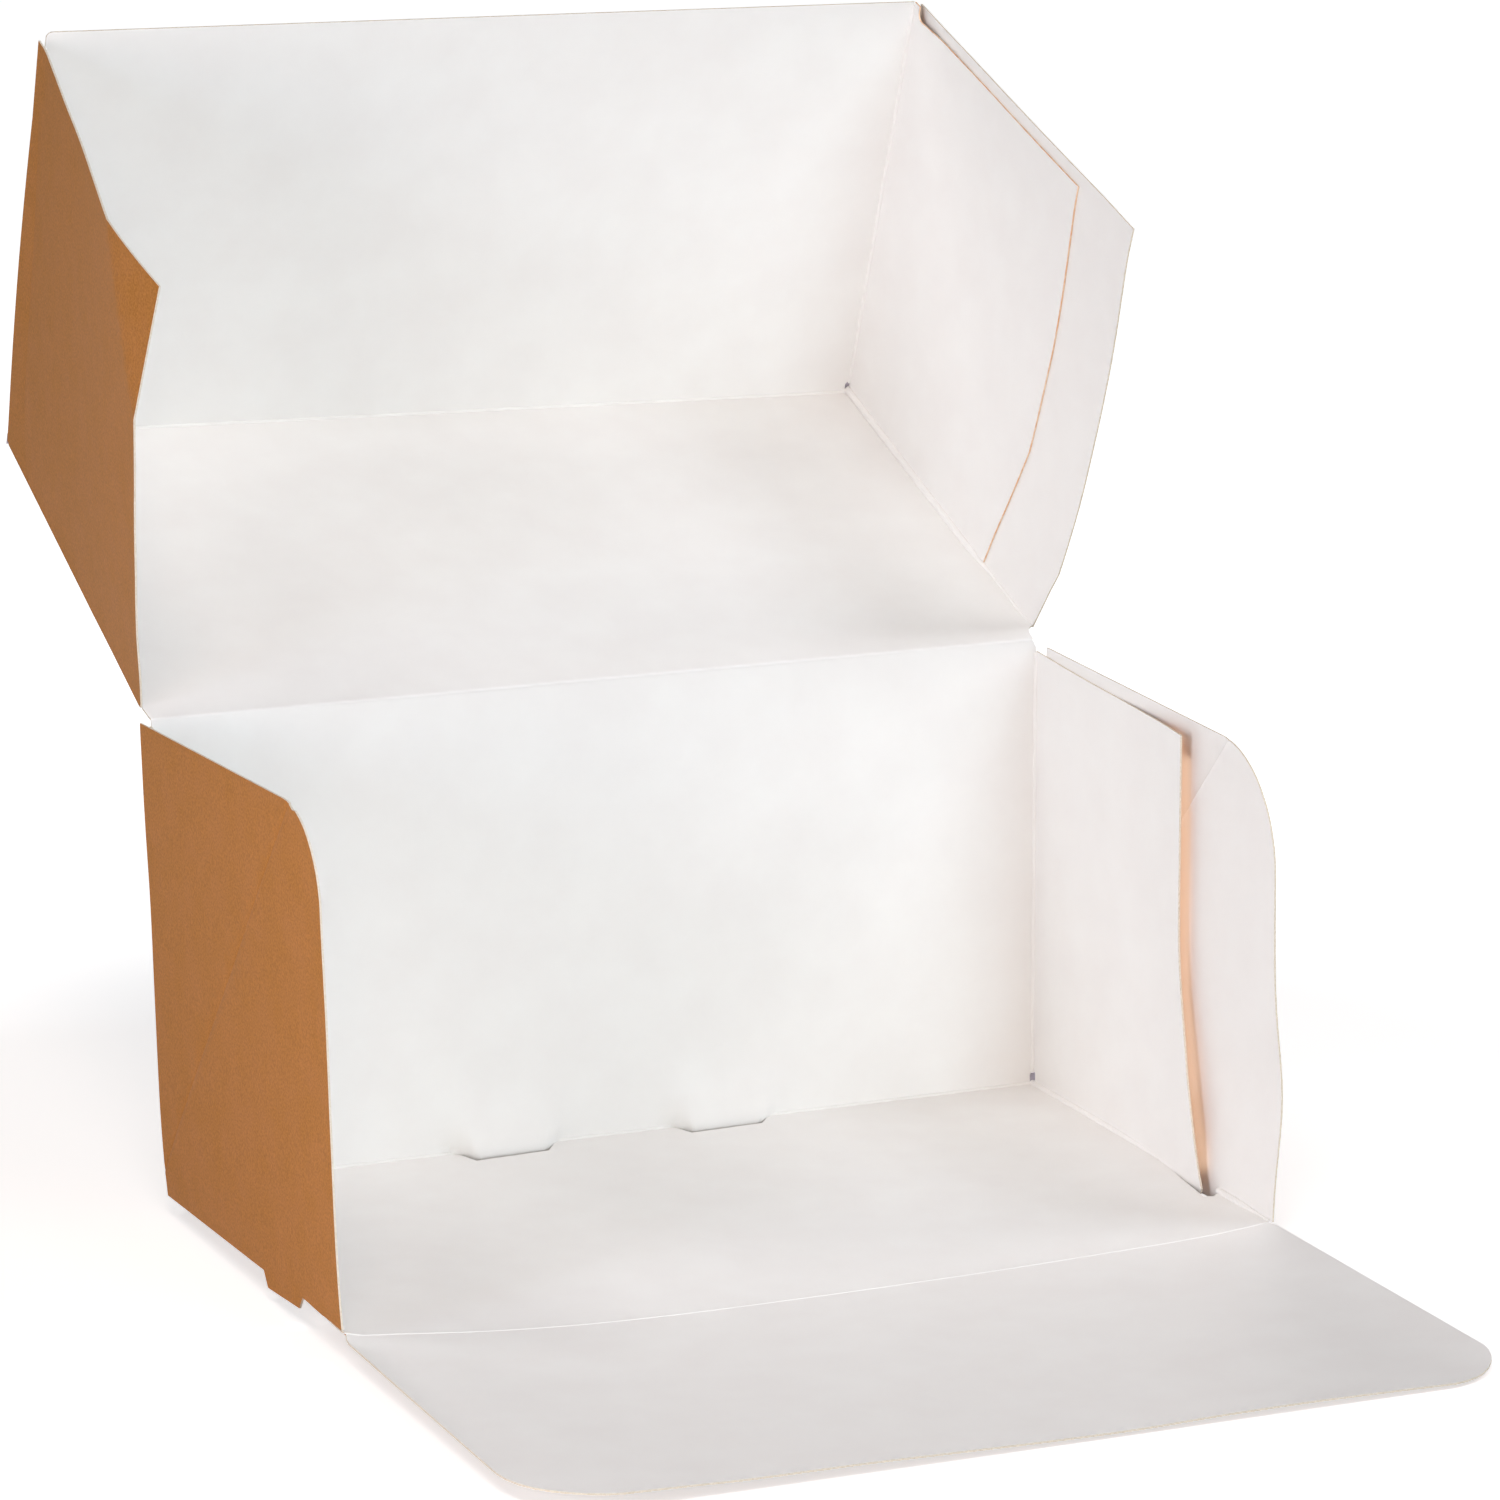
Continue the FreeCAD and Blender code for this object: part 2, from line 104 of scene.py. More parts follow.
def new_material(name):
    material = bpy.data.materials.new(name)
    material.use_nodes = True
    material.node_tree.nodes.clear()
    return material, material.node_tree


def finish_material(tree, shader):
    add(tree, "ShaderNodeOutputMaterial", links=[("Surface", shader, 0)])


def per_mm(size):
    """The scale of a pattern whose features are this many millimetres apart."""
    return 1000.0 / size


def blend_colours(tree, pattern, low, high, low_place=0.0, high_place=1.0):
    """Turn a pattern's values into a blend between two colours, set at two places along it."""
    ramp = add(tree, "ShaderNodeValToRGB", links=[("Fac", pattern, 0)])
    for element, place, code in zip(ramp.color_ramp.elements, (low_place, high_place), (low, high)):
        element.position = place
        element.color = linear(code)
    return ramp


def clay_coated_white():
    """The white liner: bleached pulp under a thin clay coating, calendered but not glossy. It is
    a warm white with faint clouds where the fibres lie thicker, and a very soft broad shine."""
    material, tree = new_material("clay_coated_white")
    place = add(tree, "ShaderNodeTexCoord")
    clouds = add(tree, "ShaderNodeTexNoise", links=[("Vector", place, "Object")],
                 in_Scale=per_mm(14), in_Detail=3.0, in_Roughness=0.55)
    fibres = add(tree, "ShaderNodeTexNoise", links=[("Vector", place, "Object")],
                 in_Scale=per_mm(0.9), in_Detail=2.0, in_Roughness=0.6)
    cloud_colour = blend_colours(tree, clouds, "#F0EEEC", "#F3F2F0", 0.3, 0.7)
    gloss = add(tree, "ShaderNodeMapRange", links=[("Value", clouds, 0)], in_3=0.46, in_4=0.56)
    bump = add(tree, "ShaderNodeBump", links=[("Height", fibres, 0)], in_Strength=0.12, in_Distance=0.00004)
    shader = add(tree, "ShaderNodeBsdfPrincipled",
                 links=[("Base Color", cloud_colour, 0), ("Roughness", gloss, 0), ("Normal", bump, 0)],
                 in_IOR=1.5, in_Specular_IOR_Level=0.35)
    finish_material(tree, shader)
    return material


def kraft_liner():
    """The brown side: unbleached kraft pulp, machine-finished. Long fibres lie mostly one way and
    show as fine darker and paler flecks; the calender gives it a dull greyish shine."""
    material, tree = new_material("kraft_liner")
    place = add(tree, "ShaderNodeTexCoord")
    grain = add(tree, "ShaderNodeMapping", links=[("Vector", place, "Object")], in_Scale=(1.0, 1.0, 0.9))
    flecks = add(tree, "ShaderNodeTexNoise", links=[("Vector", grain, 0)],
                 in_Scale=per_mm(0.5), in_Detail=2.0, in_Roughness=0.6)
    clouds = add(tree, "ShaderNodeTexNoise", links=[("Vector", place, "Object")],
                 in_Scale=per_mm(9), in_Detail=3.0, in_Roughness=0.6)
    fleck_colour = blend_colours(tree, flecks, "#946028", "#CE8C4A", 0.32, 0.68)
    cloud_colour = blend_colours(tree, clouds, "#B07432", "#B97B44", 0.3, 0.7)
    colour = add(tree, "ShaderNodeMix", data_type="RGBA", in_0=0.5,
                 links=[(6, cloud_colour, 0), (7, fleck_colour, 0)])
    gloss = add(tree, "ShaderNodeMapRange", links=[("Value", flecks, 0)], in_3=0.55, in_4=0.7)
    bump = add(tree, "ShaderNodeBump", links=[("Height", flecks, 0)], in_Strength=0.2, in_Distance=0.00005)
    shader = add(tree, "ShaderNodeBsdfPrincipled",
                 links=[("Base Color", colour, 2), ("Roughness", gloss, 0), ("Normal", bump, 0)],
                 in_IOR=1.5, in_Specular_IOR_Level=0.13)
    finish_material(tree, shader)
    return material


def dull_cloudy_finish(name, grain, colours, places, roughness, shine, detail=3.0):
    """A dull finish, cloudy between two colours: bare fibre for cut edges, and also the painted warm light on
    the lap edges and the painted shade in the corner reliefs.
    """
    material, tree = new_material(name)
    place = add(tree, "ShaderNodeTexCoord")
    fibres = add(tree, "ShaderNodeTexNoise", links=[("Vector", place, "Object")],
                 in_Scale=per_mm(grain), in_Detail=detail)
    colour = blend_colours(tree, fibres, *colours, *places)
    shader = add(tree, "ShaderNodeBsdfPrincipled", links=[("Base Color", colour, 0)],
                 in_Roughness=roughness, in_Specular_IOR_Level=shine)
    finish_material(tree, shader)
    return material


WHITE, KRAFT = clay_coated_white(), kraft_liner()
# The cut edge of the board: bare fibre between the two liners, cream with a brown side
EDGE = dull_cloudy_finish("die_cut_edge", 0.6, ("#D8CDBB", "#E4DBCD"), (0.35, 0.65), 0.8, 0.2)
# The cut edge of an inner flap, pressed against a wall: its warm orange colour is painted light, the glow
# that the kraft behind it throws back
LAP_EDGE_BOUNCE_LIGHT = dull_cloudy_finish("lap_edge_painted_bounce", 2.5, ("#E6B68E", "#F4DCC2"), (0.35, 0.65), 0.8, 0.2)
# Painted shade for the corner reliefs: a grey-violet colour that stands in for the dark seen through each
# hole
RELIEF_SHADE = dull_cloudy_finish("relief_hole_painted_shade", 0.5, ("#B4AEBE", "#C8C2CE"), (0.0, 1.0), 0.9, 0.1, detail=2.0)


# ---- Working the board ----------------------------------------------------------------------------

def take(piece):
    """Make a piece the only selected one."""
    if bpy.context.object and bpy.context.object.mode != "OBJECT":
        bpy.ops.object.mode_set(mode="OBJECT")
    bpy.ops.object.select_all(action="DESELECT")
    piece.select_set(True)
    bpy.context.view_layer.objects.active = piece


def middle(piece, item):
    """The middle of a face or an edge, in millimetres."""
    points = [piece.data.vertices[index].co for index in item.vertices]
    return sum(points, Vector()) * (1000.0 / len(points))


def pick(piece, test, kind="FACE"):
    """Enter edit mode with those faces, or edges, selected whose middle passes the test."""
    take(piece)
    bpy.ops.object.mode_set(mode="EDIT")
    bpy.ops.mesh.select_mode(type=kind)
    bpy.ops.mesh.select_all(action="DESELECT")
    bpy.ops.object.mode_set(mode="OBJECT")
    for item in (piece.data.polygons if kind == "FACE" else piece.data.edges):
        item.select = bool(test(middle(piece, item)))
    bpy.ops.object.mode_set(mode="EDIT")


def leave():
    """Go back to whole objects."""
    bpy.ops.object.mode_set(mode="OBJECT")


# How a sheet stands: the turn of a grid, and which way its first side runs
FACINGS = {
    "up": (0.0, 0.0, 0.0),
    "front": (math.pi / 2, 0.0, 0.0),
    "right": (math.pi / 2, 0.0, math.pi / 2),
    "left": (math.pi / 2, 0.0, -math.pi / 2),
}


def sheet(name, facing, low, high, cell=4.0):
    """A flat sheet between two corners, divided into cells, whose white face looks the way it
    says. The two corners share the coordinate that the sheet faces."""
    centre = [(a + b) / 2 for a, b in zip(low, high)]
    spans = [abs(b - a) for a, b in zip(low, high)]
    across, up = {"up": (0, 1), "front": (0, 2)}.get(facing, (1, 2))
    bpy.ops.object.select_all(action="DESELECT")
    bpy.ops.mesh.primitive_grid_add(
        x_subdivisions=max(1, round(spans[across] / cell)), y_subdivisions=max(1, round(spans[up] / cell)),
        size=1, location=metres(*centre), rotation=FACINGS[facing])
    piece = bpy.context.object
    piece.name = piece.data.name = name
    piece.scale = (spans[across] * 0.001, spans[up] * 0.001, 1.0)
    bpy.ops.object.transform_apply(location=True, rotation=True, scale=True)
    for material in (WHITE, KRAFT, EDGE):
        piece.data.materials.append(material)
    return piece


def cut(piece, point, normal, remove=True, where=None):
    """Cut along a line; what lies on the side of the normal is removed. Where a test is given,
    only the faces that pass it are cut."""
    if where:
        pick(piece, where)
    else:
        take(piece)
        bpy.ops.object.mode_set(mode="EDIT")
        bpy.ops.mesh.select_mode(type="FACE")
        bpy.ops.mesh.select_all(action="SELECT")
    bpy.ops.mesh.bisect(plane_co=metres(*point), plane_no=Vector(normal).normalized(),
                        clear_outer=remove, use_fill=False)
    leave()


def cut_side(piece, axes, start, end, inside, remove=True, where=None):
    """Cut along the line between two points given on two axes; `inside` is a point that stays."""
    first, second = axes
    run = (end[0] - start[0], end[1] - start[1])
    normal, point = [0.0, 0.0, 0.0], [0.0, 0.0, 0.0]
    normal[first], normal[second] = run[1], -run[0]
    point[first], point[second] = start
    if normal[first] * (inside[0] - start[0]) + normal[second] * (inside[1] - start[1]) > 0:
        normal = [-value for value in normal]
    cut(piece, point, normal, remove, where)


def round_corner(piece, axes, centre, radius, first_angle, last_angle, steps=9):
    """Round a corner by cuts along the tangents of its arc."""
    for step in range(steps + 1):
        angle = math.radians(first_angle + (last_angle - first_angle) * step / steps)
        normal, point = [0.0, 0.0, 0.0], [0.0, 0.0, 0.0]
        normal[axes[0]], normal[axes[1]] = math.cos(angle), math.sin(angle)
        point[axes[0]] = centre[0] + radius * math.cos(angle)
        point[axes[1]] = centre[1] + radius * math.sin(angle)
        cut(piece, point, normal)


def window(piece, axes, corners, margin=5.0):
    """Cut a convex hole through a sheet."""
    inside = [sum(corner[k] for corner in corners) / len(corners) for k in (0, 1)]
    low = [min(corner[k] for corner in corners) - margin for k in (0, 1)]
    high = [max(corner[k] for corner in corners) + margin for k in (0, 1)]

    def near(place):
        return all(low[k] < place[axes[k]] < high[k] for k in (0, 1))

    sides = list(zip(corners, corners[1:] + corners[:1]))
    for start, end in sides:
        cut_side(piece, axes, start, end, inside, remove=False, where=near)

    def in_hole(place):
        here = (place[axes[0]], place[axes[1]])
        for start, end in sides:
            run = (end[0] - start[0], end[1] - start[1])
            turn = run[0] * (here[1] - start[1]) - run[1] * (here[0] - start[0])
            toward = run[0] * (inside[1] - start[1]) - run[1] * (inside[0] - start[0])
            if turn * toward < 0:
                return False
        return True

    pick(piece, in_hole)
    bpy.ops.mesh.delete(type="FACE")
    leave()


def score(piece, axes, line, half=0.4):
    """Cut a sheet along a scored line and along both its shoulders, for the line to be raised."""
    start, end = Vector(line[0]), Vector(line[1])
    across = Vector((start.y - end.y, end.x - start.x)).normalized()
    for shift in (-half, 0, half):
        first, last = start + across * shift, end + across * shift
        cut_side(piece, axes, first, last, first + across, remove=False)


def score_rise(line, first, second, height=0.2, half=0.4):
    """How far a place on a sheet stands proud of it, near a scored line."""
    start, end = Vector(line[0]), Vector(line[1])
    run = (end - start).normalized()
    off = abs(run.x * (second - start.y) - run.y * (first - start.x))
    return height * max(0.0, 1 - off / half)


def grow_tongue(wall, along_it, reach, taper, tip):
    """Draw a tongue down from the wall's foot, where the test says, and narrow it about its tip."""
    pick(wall, lambda place: place.z < FLOOR_FACE + 0.01 and along_it(place), "EDGE")
    bpy.ops.mesh.extrude_region_move(
        TRANSFORM_OT_translate={"value": metres(0, 0, -(FLOOR_FACE + reach)), "orient_type": "GLOBAL"})
    bpy.ops.transform.resize(value=taper, orient_type="GLOBAL", center_override=metres(*tip))
    leave()


def relief_hole(low_tip, near, far, high_tip, foot, top):
    """The outline of a corner relief: it bulges from two tips at one side to a straight other side."""
    return [low_tip, (near, foot), (far, foot), (far, top), (near, top), high_tip]


def shape(piece, move):
    """Move every point of a piece: the function gives its new place, in millimetres."""
    for point in piece.data.vertices:
        point.co = metres(*move(*(point.co * 1000.0)))
    piece.data.update()


def thicken(piece, thickness=BOARD):
    """Give a sheet the board's thickness on its kraft side, and its cut edges."""
    take(piece)
    bpy.ops.object.mode_set(mode="EDIT")
    bpy.ops.mesh.select_all(action="SELECT")
    bpy.ops.mesh.remove_doubles(threshold=0.00001)
    leave()
    board = piece.modifiers.new("board", "SOLIDIFY")
    board.thickness = thickness * 0.001
    board.offset = -1
    board.use_even_offset = True
    board.material_offset = 1
    board.material_offset_rim = 2
    bpy.ops.object.modifier_apply(modifier="board")
    bpy.ops.object.shade_smooth_by_angle(angle=math.radians(35))


def crease(name, start, end, inward, radius=0.5, steps=1, gaps=()):
    """A crease between two panels, as the rounded fold that the creasing rule leaves: kraft on
    the outside, and a white bead inside. `inward` points from the fold into the box. Gaps are
    stretches along it, from 0 to 1, that a window takes away."""
    start, end, inward = Vector(start), Vector(end), Vector(inward).normalized()
    run = end - start
    turn = run.normalized().to_track_quat("Z", "Y")
    ends_of_gaps = [edge for gap in gaps for edge in gap]
    marks = sorted({0.0, 1.0, *ends_of_gaps, *(k / steps for k in range(steps + 1))})
    bpy.ops.object.select_all(action="DESELECT")
    bpy.ops.mesh.primitive_circle_add(
        vertices=12, radius=radius * 0.001, fill_type="NOTHING", location=metres(*start),
        rotation=turn.to_euler())
    piece = bpy.context.object
    piece.name = piece.data.name = name
    bpy.ops.object.transform_apply(location=True, rotation=True, scale=True)
    bpy.ops.object.mode_set(mode="EDIT")
    bpy.ops.mesh.select_mode(type="EDGE")
    bpy.ops.mesh.select_all(action="SELECT")
    for before, after in zip(marks, marks[1:]):
        step = run * (after - before) * 0.001
        bpy.ops.mesh.extrude_region_move(
            TRANSFORM_OT_translate={"value": tuple(step), "orient_type": "GLOBAL"})
    leave()
    if gaps:
        pick(piece, lambda place: any(
            low < (place - start).dot(run) / run.length_squared < high for low, high in gaps))
        bpy.ops.mesh.delete(type="FACE")
        leave()
    take(piece)
    bpy.ops.object.mode_set(mode="EDIT")
    bpy.ops.mesh.select_all(action="SELECT")
    bpy.ops.mesh.fill_holes(sides=0)
    bpy.ops.mesh.select_all(action="SELECT")
    bpy.ops.mesh.normals_make_consistent(inside=False)
    leave()
    for material in (WHITE, KRAFT):
        piece.data.materials.append(material)
    for face in piece.data.polygons:
        face.material_index = 0 if face.normal.dot(inward) > -0.2 else 1
    bpy.ops.object.shade_smooth_by_angle(angle=math.radians(50))
    return piece


def smooth(value, low=0.0, high=1.0):
    """0 below low, 1 above high, and a soft step in between."""
    share = min(1.0, max(0.0, (value - low) / (high - low)))
    return share * share * (3 - 2 * share)


def along_curve(places, value):
    """A smooth height at `value` on a line through (place, height) pairs."""
    if value <= places[0][0]:
        return places[0][1]
    for (before, low), (after, high) in zip(places, places[1:]):
        if value <= after:
            index = places.index((before, low))
            left = places[max(0, index - 1)]
            right = places[min(len(places) - 1, index + 2)]
            span = after - before
            slope_in = (high - left[1]) / max(after - left[0], 1e-9)
            slope_out = (right[1] - low) / max(right[0] - before, 1e-9)
            t = (value - before) / span
            return ((2 * t ** 3 - 3 * t ** 2 + 1) * low + (t ** 3 - 2 * t ** 2 + t) * span * slope_in
                    + (3 * t ** 2 - 2 * t ** 3) * high + (t ** 3 - t ** 2) * span * slope_out)
    return places[-1][1]


def belongs(piece, body, *nodes):
    """Say which body a piece moves with, and which solids it is seen in place of."""
    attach(piece, body)
    if nodes:
        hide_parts(*nodes)


def flatten_with_flap(piece):
    """Give a piece that hangs with the front crease a mesh of its own."""
    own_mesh(piece)


def flatten_with_lid(piece):
    """Give a side wall or flap a mesh of its own."""
    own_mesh(piece)


def straighten_with_lid(piece):
    """Give the open lid's warped panel a mesh of its own."""
    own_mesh(piece)


# ---- Tray ---------------------------------------------------------------------------------------
# The floor and the front crease hang between the tongues and walls that stand on the table.

# The height of the front crease, from the left to the right
FRONT_CREASE_LINE = [(-110, 1.5), (-108.6, 0.2), (-97, -1.1), (-75, -3.2), (-52, -4.45), (-29, -4.9),
                     (-5, -4.9), (18, -4.75), (42, -4.4), (67, -3.75), (92, -2.9), (107, -1.7), (110, -1.2)]


def crease_drop(x):
    """How far the front crease hangs below a straight one."""
    return FLOOR_FACE - along_curve(FRONT_CREASE_LINE, x)


def left_foot_lift(y):
    """Between its tongue and the front the left wall's foot curves up."""
    return 0.9 * smooth(-y, 12, 36) * (1 - smooth(-y, 36, 59))


def floor_drop(x, y):
    """How far the floor hangs: with the front crease, and hardly at all at the rear."""
    forward = min(1.0, max(0.0, (REAR_FACE - y) / (REAR_FACE - FLOOR_FRONT)))
    rear_lift = 0.4 * (1 + x / HALF_WIDTH) * (1 - forward) ** 1.5
    return crease_drop(x) * forward ** 1.6 - rear_lift - left_foot_lift(y) * smooth(-x, 92, 110)


def wall_foot_drop(side, y, z):
    """A wall's foot follows the floor's edge."""
    if side < 0:
        forward = (REAR_FACE - y) / (REAR_FACE - FLOOR_FRONT)
        lift = left_foot_lift(y) * (1 - smooth(z, 0, 20)) if z > -0.5 else 0.3 * smooth(-y, 12, 36)
        return 1.1 * (1 - forward) - 1.2 * forward - lift
    return floor_drop(HALF_WIDTH, y) * (1 - smooth(z, 0, 100))


REAR_TONGUE = (15.0, 39.6)              # from the middle to each side
REAR_SLOTS = ((-39.6, -15.0, 7.4, 6.3), (15.0, 39.6, 6.1, 5.2))     # left, right, and the depth at each
SIDE_TONGUE = (-10.2, -35.8)            # rear end, front end
SIDE_TONGUE_REACH = 2.6
RELIEF_FOOT, RELIEF_TOP = 0.5, 4.15     # the small hole at each rear corner of the floor

# The hinge fold: where the rear wall's white face would meet the lid panel's, and the bend there
HINGE_BEND = 0.8
PANEL_FACE = BOARD - LID_SAG
HINGE_ALONG = (PANEL_FACE * math.sin(LID_ANGLE) - BOARD) / math.cos(LID_ANGLE)
HINGE_CORNER = HEIGHT + HINGE_ALONG * math.sin(LID_ANGLE) + PANEL_FACE * math.cos(LID_ANGLE)
HINGE_REACH = HINGE_BEND * math.tan((math.pi / 2 - LID_ANGLE) / 2)
HINGE_START = HINGE_CORNER - HINGE_REACH        # top of the flat rear wall
PANEL_START = HINGE_ALONG + HINGE_REACH         # rear end of the flat lid panel


def make_floor():
    floor = sheet("tray_floor", "up",
                  (-WALL_FACE, FLOOR_FRONT, FLOOR_FACE), (WALL_FACE, REAR_FACE, FLOOR_FACE))
    rear, front = SIDE_TONGUE
    for left, right, deep_left, deep_right in REAR_SLOTS:
        window(floor, XY, [(left - 0.6, REAR_FACE + 1), (left + 1.8, REAR_FACE - deep_left),
                           (right - 4.3, REAR_FACE - deep_right), (right + 0.6, REAR_FACE + 1)])
    for side in (-1, 1):
        window(floor, XY, [(side * (WALL_FACE + 1), rear), (side * 108.4, rear), (side * 106.4, rear - 14),
                           (side * 105.2, front - 0.6), (side * 107.0, front - 1.8),
                           (side * (WALL_FACE + 1), front)])
    shape(floor, lambda x, y, z: (x, y, z - floor_drop(x, y)))
    thicken(floor)
    belongs(floor, "tray", "tray")
    flatten_with_flap(floor)


def hinge_rise(x):
    """The hinge line climbs a little towards the right."""
    return -0.1 + 1.4 * (x + HALF_WIDTH) / (2 * HALF_WIDTH)


def hinge_notch(hinge):
    """The round cut at the right end of the hinge line, in a flat panel that ends there."""
    wide, before, behind = 3.7, 4.4, 6.4
    turns = [math.radians(angle) for angle in range(95, 270, 12)]
    return [(112.0 + wide * math.cos(turn),
             hinge + 0.8 + (behind if math.sin(turn) > 0 else before) * math.sin(turn)) for turn in turns]


def rear_corner_lean(x, z):
    """The free left wall draws the rear wall's left end outwards."""
    return 2.1 * z / HEIGHT * smooth(-x, 80, HALF_WIDTH)


# How far forward a rear tongue bulges at a height, as a share of its slot's depth
TONGUE_BULGE = [(-1, 0.86), (0.4, 0.9), (1.2, 0.88), (2.2, 0.81), (3.4, 0.7), (5.2, 0.52), (8, 0.3),
                (11, 0.14), (14, 0.04), (18, 0), (30, 0)]


def make_rear_wall():
    wall = sheet("tray_rear_wall", "front",
                 (-FLAP_FACE, REAR_FACE, FLOOR_FACE), (FLAP_FACE, REAR_FACE, HINGE_START))
    near, far = REAR_TONGUE
    narrower = (far - near - 4) / (far - near)
    for side in (-1, 1):
        for edge in (near, far):
            cut(wall, (side * edge, 0, 0), (1, 0, 0), remove=False)
    for side in (-1, 1):
        grow_tongue(wall, lambda place: near < side * place.x < far, STAND, (narrower, 1, 1),
                    (side * (near + far) / 2, REAR_FACE, -STAND))
    window(wall, XZ, hinge_notch(HINGE_START + HINGE_REACH))
    for side in (-1, 1):
        window(wall, XZ, relief_hole((side * 108.4, 1.3), side * 108.8, side * 110, (side * 108.3, 3.4),
                                     RELIEF_FOOT, RELIEF_TOP))

    def low_down(place):
        return place.z < 9

    for left, right, deep_left, deep_right in REAR_SLOTS:
        for edge in (left + 1.2, left + 2.4, left + 3.6, right - 5.0, right - 3.2, right - 1.6):
            cut(wall, (edge, 0, 0), (1, 0, 0), remove=False, where=low_down)
    for height in (1.0, 2.2, 3.4, 5.2, 6.6):
        cut(wall, (0, 0, height), (0, 0, 1), remove=False, where=low_down)

    def stand(x, y, z):
        forward = 0.0
        wide = 0.8 * max(0.0, z)        # the bulge spreads upwards
        for left, right, deep_left, deep_right in REAR_SLOTS:
            inside = smooth(x, left - 0.8 - wide, left + 3.6)
            inside *= 1 - smooth(x, right - 5.0, right + 0.5 + wide)
            share = min(1.0, max(0.0, (x - left) / (right - left)))
            deep = deep_left + (deep_right - deep_left) * share - 0.9
            forward += inside * deep * along_curve(TONGUE_BULGE, z)
        return (x - rear_corner_lean(x, z), y - forward, z + hinge_rise(x) * smooth(z, 60, HINGE_START))

    shape(wall, stand)
    thicken(wall)
    belongs(wall, "tray", "tray")


# How far the left side wall leans outwards at a height
LEFT_LEAN = [(0, 0.5), (10, 1.4), (22, 2.1), (46, 2.9), (69, 3.6), (89, 4.6), (110, 5.4)]


def left_splay(y, z):
    """How far the left wall leans outwards, most at its rear top corner, which stands free."""
    backward = (y - FLOOR_FRONT) / (REAR_FACE - FLOOR_FRONT)
    return along_curve(LEFT_LEAN, z) * (0.64 + 0.36 * min(1.0, max(0.0, backward)))


def right_bulge(y, z):
    """The right wall's front edge bows outwards low down."""
    return 2.2 * smooth(y, 10, -60) * math.exp(-((z - 28) / 17) ** 2)


WALL_DIAGONAL = ((60.0, 4.0), (-38.0, 105.2))      # a scored line from the rear foot to the rounding


def make_side_wall(side, name):
    face = side * WALL_FACE
    back, top = 57.8, 112.0
    wall = sheet(f"tray_wall_{name}", INWARD[name], (face, FLOOR_FRONT, FLOOR_FACE), (face, back, top))
    rear_top = (54.9, 109.6 if side > 0 else 110.9)
    front_top, radius = (105.0, 27.5) if side > 0 else (110.5, 20.3)
    cut_side(wall, YZ, (back, 0), (54.8, top), (0, 50))
    cut_side(wall, YZ, rear_top, (FLOOR_FRONT + radius, front_top), (0, 50))
    round_corner(wall, YZ, (FLOOR_FRONT + radius, front_top - radius), radius, 94, 176, steps=12)
    if side < 0:                        # a nick left by the die
        window(wall, YZ, [(-38.7, 112), (-44.9, 109.0), (-50, 109.15), (-50, 112)])
    rear, front = SIDE_TONGUE
    for edge in SIDE_TONGUE:
        cut(wall, (0, edge, 0), (0, 1, 0), remove=False)
    score(wall, YZ, WALL_DIAGONAL)
    grow_tongue(wall, lambda place: front < place.y < rear, SIDE_TONGUE_REACH, (1, 20.4 / 25.6, 1),
                (face, (rear + front) / 2, -SIDE_TONGUE_REACH))

    def hang(x, y, z):
        if z < -2:                      # the tongue's tip slants
            z -= 0.28 * (y - (rear + front) / 2) / 10.2
        out = (left_splay(y, z) if side < 0 else right_bulge(y, z)) - score_rise(WALL_DIAGONAL, y, z)
        forward = 1.4 * max(0.0, 1 - z / 80) * smooth(-y, 20, 59)
        return (x + side * out, y - forward, z - wall_foot_drop(side, y, z))

    shape(wall, hang)
    thicken(wall)
    belongs(wall, "tray", "tray")
    flatten_with_lid(wall)


FLAP_TOP_LINE = [(-21, 5.3), (10, 4.1), (40, 1.9), (60, 0)]     # an inner flap's top edge, below its rear end


def make_inner_flap(side, name):
    face = side * FLAP_FACE
    rear_top = 108.0
    front, foot, tab_foot = -20.8, FLOOR_FACE + 0.2, -2.6
    flap = sheet(f"tray_flap_{name}", INWARD[name], (face, front, tab_foot), (face, REAR_FACE, rear_top))
    window(flap, YZ, [(-7, foot), (62, foot), (62, -4), (-9, -4)])
    window(flap, YZ, relief_hole((58.3, 1.3), 58.8, 61, (58.2, 3.4), RELIEF_FOOT, RELIEF_TOP))
    window(flap, YZ, [(front - 1, foot), (front + 0.6, tab_foot), (front - 1, -4)])

    def bow(x, y, z):                   # it springs off the wall in front of the glue
        free = min(1.0, max(0.0, y / front))
        forward = 14.5 * (max(0.0, 64 - z) / 64) ** 2.2 * free ** 1.5
        forward -= 3.6 * (1 - smooth(z, 0, 14)) * free
        off = min(3.9, max(0.0, (22 - y + forward) / 43) ** 2 * 3.2)
        off *= 1 - 0.38 * (1 - smooth(z, 0, 14)) * smooth(y, -34, -24)
        out = right_bulge(y, z) * smooth(60 - y, 0, 20)
        if side < 0:
            corner = rear_corner_lean(HALF_WIDTH * side, z)
            out = corner + (left_splay(y, z) - corner) * smooth(60 - y, 0, 34)
        fall = along_curve(FLAP_TOP_LINE, y) * max(0.0, (z - 50) / (rear_top - 50))
        sink = wall_foot_drop(side, y, z) * (0.8 if side > 0 else smooth(60 - y, 0, 20))
        sink -= 1.2 * smooth(-y, 0, 20) * (1 - smooth(z, 0, 30))
        return (x + side * (out - off), y - forward, z - fall - sink)

    shape(flap, bow)
    thicken(flap)
    belongs(flap, "tray", "tray")
    if side < 0:
        flatten_with_lid(flap)


